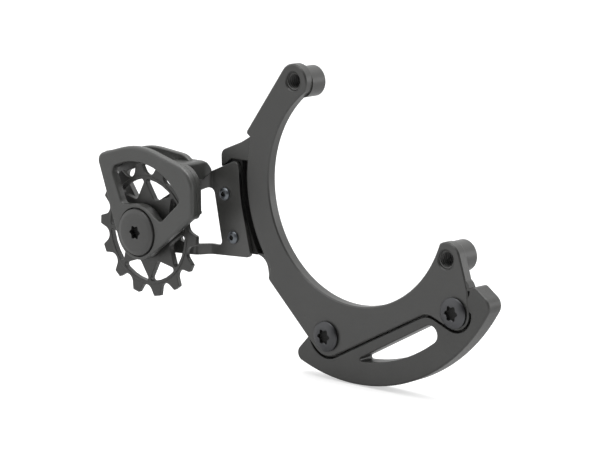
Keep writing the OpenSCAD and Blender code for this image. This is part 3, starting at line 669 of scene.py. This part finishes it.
# Profiles (radius, y) from the end of the shank to the edge of the socket
BUTTON_HEAD = [(3.9, 8.5), (3.9, 0.1), (6.45, 0.1), (6.6, -0.1), (6.6, -0.95), (6.42, -1.2), (6.0, -1.42),
               (5.2, -1.75), (4.3, -2.08), (3.7, -2.2)]
SCREW_HEAD = [(1.5, 8.0), (1.5, 1.6), (2.75, 1.6), (2.85, 1.45), (2.85, 0.9), (2.7, 0.6), (2.3, 0.22),
              (1.75, -0.05), (1.45, -0.15)]
PIVOT_HEAD = [(3.95, 3.5), (3.95, RECESS_FLOOR), (10.3, RECESS_FLOOR), (10.5, -16), (10.5, -18.55),
              (10.35, -18.8), (8.9, -19.3), (8.5, -19.4), (3.7, -19.4)]
# A row is the node, its place, its profile, the socket's radius, floor and lobe
TURNED = [
    ("skid_bolt_rear", REAR_BOLT, BUTTON_HEAD, 3.4, -0.4, 0.13),
    ("skid_bolt_front", FRONT_BOLT, BUTTON_HEAD, 3.4, -0.4, 0.13),
    ("bracket_screw_upper", UPPER_SCREW, SCREW_HEAD, 1.2, 0.9, 0.06),
    ("bracket_screw_lower", LOWER_SCREW, SCREW_HEAD, 1.2, 0.9, 0.06),
    ("pivot_bolt", WHEEL, PIVOT_HEAD, 3.2, -16.6, 0.13),
]
for node, at, profile, socket, floor_y, lobe in TURNED:
    head = turned_head(node, *at, profile, socket, floor_y, lobe)
    # The socket's inside gets the near black of painted shade
    place(node + "_turned", head, FINISH[slot_of[node]], "guard", node, inner=FINISH["groove_black"])

ROUNDED = {"idler_bracket": 0.3, "pivot_nut": 0.2}
for node, slot in slot_of.items():
    solid = frame["nodes"][node]
    if node in ROUNDED:
        rounded_copy(node, FINISH[slot], ROUNDED[node])
    elif not solid.hide_render:
        for k in range(len(solid.material_slots)):
            solid.material_slots[k].material = FINISH[slot]


def aim(thing, place_at, at):
    """Puts a lamp or a camera at a place and turns it to look at a point."""
    thing.location = place_at
    thing.rotation_euler = (Vector(at) - Vector(place_at)).to_track_quat("-Z", "Y").to_euler()


def softbox(name, place_at, size, power):
    """A square soft lamp that looks at the middle of the guard."""
    data = bpy.data.lights.new(name, "AREA")
    data.shape = "SQUARE"
    data.size = size
    data.energy = power
    lamp = bpy.data.objects.new(name, data)
    bpy.context.scene.collection.objects.link(lamp)
    aim(lamp, place_at, target)


def floor_finish():
    """A plain pale floor that shows white, and darker only where the object shades it."""
    material = bpy.data.materials.new("pale_floor")
    material.use_nodes = True
    tree = material.node_tree
    shader = tree.nodes["Principled BSDF"]
    shader.inputs["Base Color"].default_value = (0.62, 0.62, 0.62, 1)
    shader.inputs["Roughness"].default_value = 0.9
    shader.inputs["Emission Color"].default_value = (1, 1, 1, 1)
    rays = tree.nodes.new("ShaderNodeLightPath")
    seen = tree.nodes.new("ShaderNodeMath")
    seen.operation = "MULTIPLY"
    seen.inputs[1].default_value = 0.55
    tree.links.new(rays.outputs["Is Camera Ray"], seen.inputs[0])
    tree.links.new(seen.outputs["Value"], shader.inputs["Emission Strength"])
    return material


def studio(toward):
    """A white surround. Light falls off smoothly from 1 to 0.1 near the fixed direction toward, by the
    dot product with it, as a dark screen does there; a camera ray sees plain white."""
    world = bpy.data.worlds.new("studio")
    bpy.context.scene.world = world
    world.use_nodes = True
    tree = world.node_tree
    background = tree.nodes["Background"]
    where = tree.nodes.new("ShaderNodeTexCoord")
    dot = tree.nodes.new("ShaderNodeVectorMath")
    dot.operation = "DOT_PRODUCT"
    dot.inputs[1].default_value = toward
    tree.links.new(where.outputs["Generated"], dot.inputs[0])
    shade = tree.nodes.new("ShaderNodeMapRange")
    shade.interpolation_type = "SMOOTHSTEP"
    shade.inputs["From Min"].default_value = 0.45
    shade.inputs["From Max"].default_value = 0.92
    shade.inputs["To Min"].default_value = 1.0
    shade.inputs["To Max"].default_value = 0.1
    tree.links.new(dot.outputs["Value"], shade.inputs["Value"])
    rays = tree.nodes.new("ShaderNodeLightPath")
    choose = tree.nodes.new("ShaderNodeMix")
    choose.data_type = "FLOAT"
    tree.links.new(rays.outputs["Is Camera Ray"], choose.inputs["Factor"])
    tree.links.new(shade.outputs["Result"], choose.inputs["A"])
    choose.inputs["B"].default_value = 1.0
    background.inputs["Color"].default_value = (1, 1, 1, 1)
    tree.links.new(choose.outputs["Result"], background.inputs["Strength"])


camera_data = bpy.data.cameras.new("camera")
camera_data.lens = 162
camera_data.sensor_width = 36
camera_data.clip_end = 50
camera = bpy.data.objects.new("camera", camera_data)
bpy.context.scene.collection.objects.link(camera)
target = Vector((-0.0302, 0, -0.0176))
azimuth, elevation, reach = math.radians(41.64), math.radians(10.96), 1.1588
level = math.cos(elevation)
outward = Vector((math.sin(azimuth) * level, -math.cos(azimuth) * level, math.sin(elevation)))
aim(camera, target + reach * outward, target)
bpy.context.scene.camera = camera

softbox("lamp_above", (0.1, 0.1, 1.3), 1.2, 12)
softbox("lamp_right", (1.3, 0.9, 0.1), 1.0, 3.5)
studio(outward)

floor_mesh = bpy.data.meshes.new("floor")
floor_corners = [(-6, -6, FLOOR_Z), (6, -6, FLOOR_Z), (6, 6, FLOOR_Z), (-6, 6, FLOOR_Z)]
floor_mesh.from_pydata(floor_corners, [], [(0, 1, 2, 3)])
floor_mesh.materials.append(floor_finish())
floor = bpy.data.objects.new("floor", floor_mesh)
bpy.context.scene.collection.objects.link(floor)

scene = bpy.context.scene
scene.view_settings.view_transform = "Standard"
